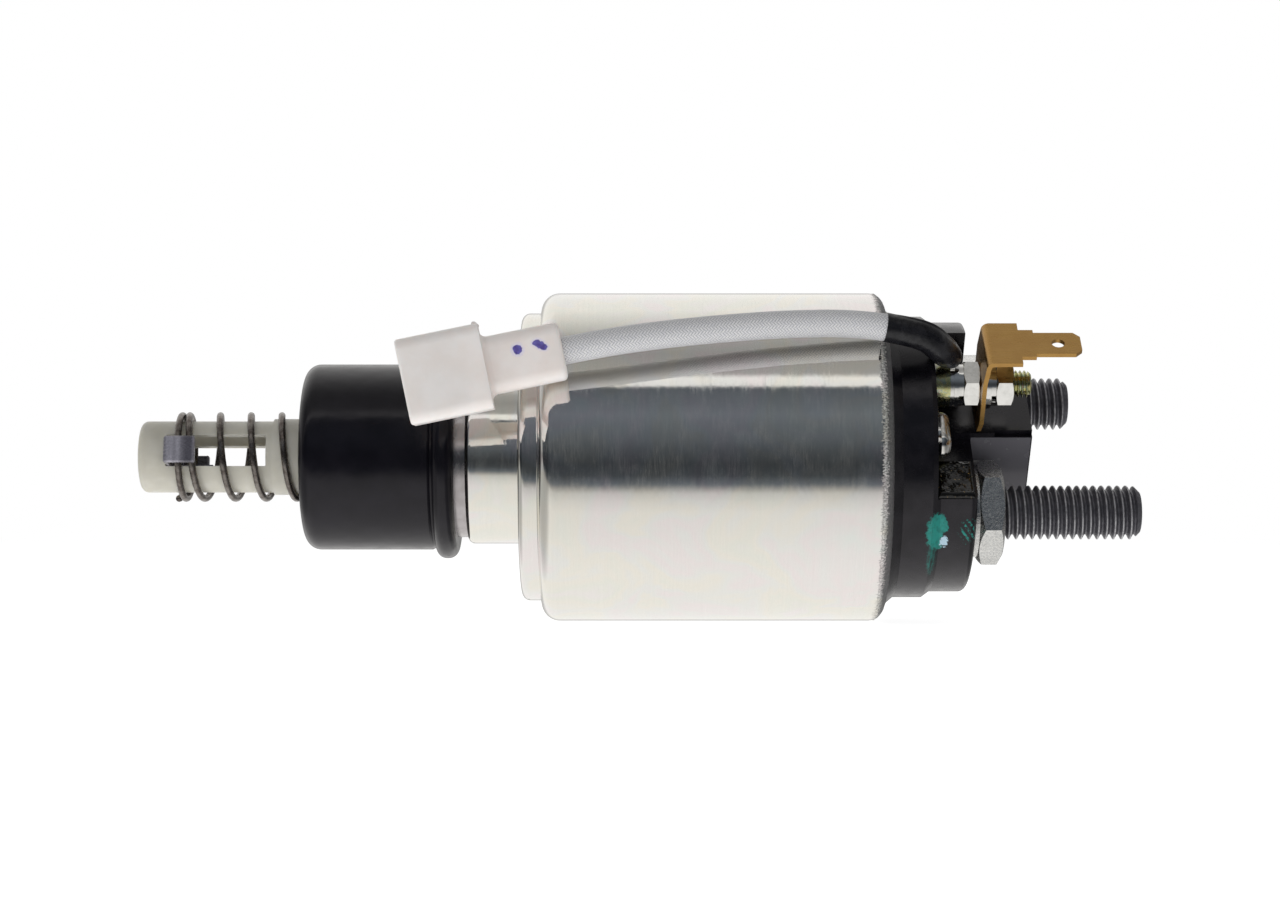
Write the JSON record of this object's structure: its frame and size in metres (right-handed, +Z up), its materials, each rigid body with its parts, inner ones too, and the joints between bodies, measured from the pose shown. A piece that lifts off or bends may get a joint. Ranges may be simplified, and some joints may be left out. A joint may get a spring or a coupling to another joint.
{
  "type": "starter solenoid",
  "caption": "Cylindrical starter solenoid with sliding plunger link, coil springs, rubber boot, crimped zinc case, black terminal cap with studs and blade, and a sleeved lead with plug.",
  "frame": {"origin": "on the plunger's axis, at the front face of the case's shoulder, at the centre of the mounting holes' circle", "axes": "+X along the axis towards the terminals, -Y towards the lead's side, +Z up as in the picture"},
  "size_m": [0.1867, 0.0701, 0.062],
  "materials": {
    "zinc_plate": "bright zinc plate with a faint warm passivate tint",
    "bare_steel": "turned steel",
    "dull_steel": "unplated, dull grey brown",
    "fastener_zinc": "zinc plated, coarse flats",
    "stud_phosphate": "dark grey phosphate",
    "blued_steel": "dark blue grey strip",
    "spring_steel": "oil tempered wire",
    "yellow_zinc": "yellow chromate zinc",
    "brass": "rolled strip",
    "copper": "bare or enamelled copper",
    "tin": "tinned, with flux stain",
    "black_rubber": "satin",
    "shrink_sleeve": "satin shrink tube",
    "black_moulding": "glass filled moulding",
    "natural_nylon": "natural nylon",
    "milky_nylon": "translucent milky nylon",
    "glass_braid": "braided glass sleeve"
  },
  "bodies": {
    "housing": {"case": "zinc_plate", "front_pole": "zinc_plate", "nose_bush": "dull_steel", "guide_sleeve": "brass", "bobbin": "black_moulding", "pull_in_winding": "copper", "hold_in_winding": "copper", "fixed_core": "bare_steel", "yoke_plate": "bare_steel", "cap_gasket": "black_rubber", "boot": "black_rubber", "return_spring": "spring_steel", "terminal_cap": "black_moulding", "contact_return_spring": "spring_steel", "battery_stud": "stud_phosphate", "motor_stud": "stud_phosphate", "terminal_washers": "fastener_zinc", "terminal_nuts": "fastener_zinc", "signal_stud": "yellow_zinc", "signal_collar": "yellow_zinc", "signal_washers": "fastener_zinc", "signal_lock_washers": "fastener_zinc", "signal_inner_nut": "fastener_zinc", "signal_outer_nut": "fastener_zinc", "winding_strap": "tin", "solder_dome": "tin", "blade_terminal": "brass", "ring_terminal": "tin", "heat_shrink": "shrink_sleeve", "lead": "glass_braid", "connector_housing": "milky_nylon", "connector_blade": "brass"},
    "plunger_link": {"plunger": "bare_steel", "link_tube": "natural_nylon", "spring_retainer": "bare_steel", "retainer_clip": "fastener_zinc", "link_spring": "spring_steel"},
    "cross_bar_slider": {"cross_bar": "blued_steel"},
    "contact_bridge": {"contact_rod": "spring_steel", "front_insulator": "black_moulding", "contact_disc": "copper", "rear_insulator": "black_moulding", "rod_clip": "fastener_zinc", "contact_pressure_spring": "spring_steel"}
  },
  "joints": [
    {"name": "plunger_slide", "type": "slide", "parent": "housing", "child": "plunger_link", "axis": [1, 0, 0], "range_m": [0, 0.011], "stiffness_N_per_m": 900, "springref_m": -0.012, "deforming": ["return_spring"]},
    {"name": "cross_bar_slide", "type": "slide", "parent": "plunger_link", "child": "cross_bar_slider", "axis": [1, 0, 0], "range_m": [0, 0.0104], "stiffness_N_per_m": 1600, "springref_m": -0.01, "deforming": ["link_spring"]},
    {"name": "contact_slide", "type": "slide", "parent": "housing", "child": "contact_bridge", "axis": [1, 0, 0], "range_m": [0, 0.00275], "stiffness_N_per_m": 1100, "springref_m": -0.003, "deforming": ["contact_return_spring"]}
  ],
  "couplings": [
    {"joint": "contact_slide", "follows": "plunger_slide", "ratio": 0.25}
  ]
}
